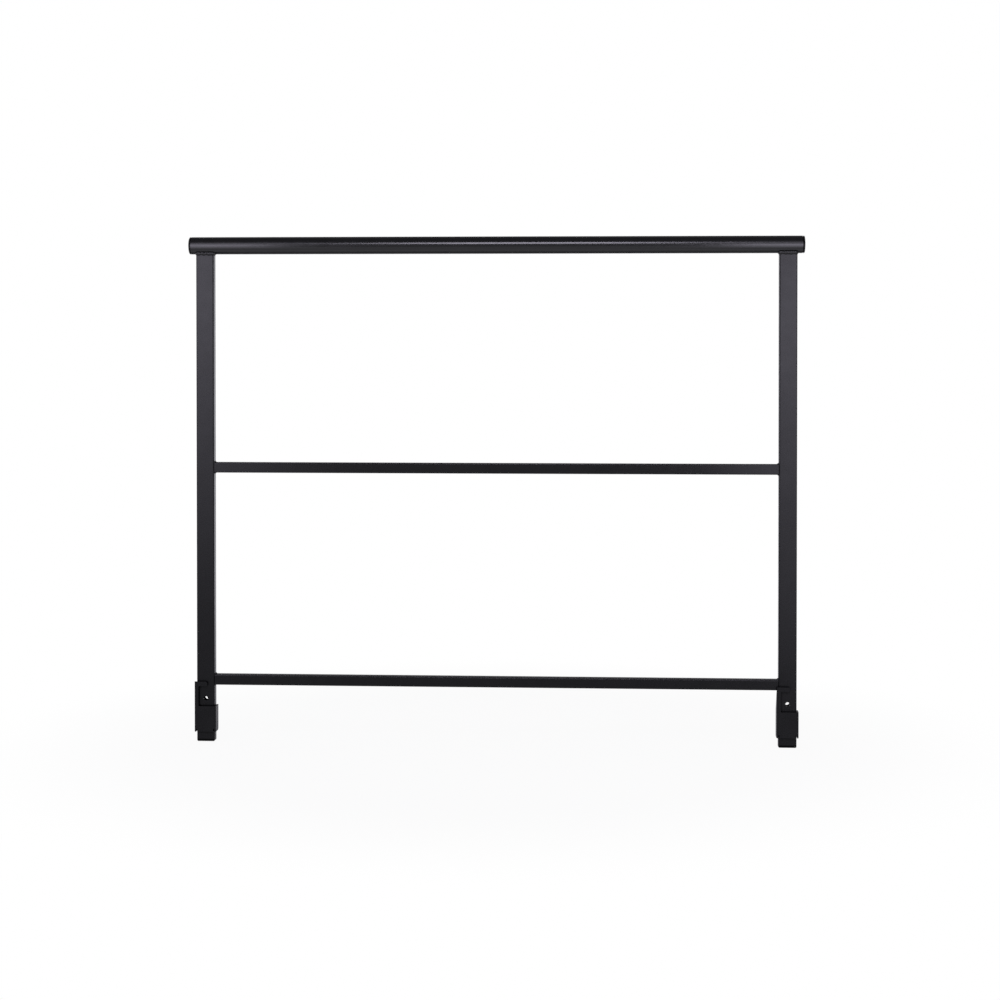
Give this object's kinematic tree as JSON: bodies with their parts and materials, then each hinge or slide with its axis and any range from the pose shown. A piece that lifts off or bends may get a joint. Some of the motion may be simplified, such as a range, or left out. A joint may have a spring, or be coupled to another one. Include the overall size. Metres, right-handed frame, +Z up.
{
  "type": "stage guard rail",
  "caption": "Welded steel guard rail for a stage edge: a round handrail on tube posts, cross rails between the posts, and bent-sheet foot brackets where it bolts on.",
  "frame": {"origin": "on the left post's back face, on the post's centre line, level with the lower edges of the foot brackets", "axes": "+X along the handrail towards the right post, +Y out of the posts' back faces, +Z up"},
  "size_m": [1.2, 0.0338, 0.9885],
  "materials": {
    "black_steel": "black satin powder coat on steel tube",
    "black_plastic": "black moulded plastic, fine grain"
  },
  "bodies": {
    "root": {"handrail": "black_steel", "handrail_left_cap": "black_plastic", "handrail_right_cap": "black_plastic", "left_post": "black_steel", "right_post": "black_steel", "mid_rail": "black_steel", "bottom_rail": "black_steel", "left_foot_bracket": "black_steel", "right_foot_bracket": "black_steel", "left_post_plug": "black_plastic", "right_post_plug": "black_plastic"}
  },
  "joints": []
}
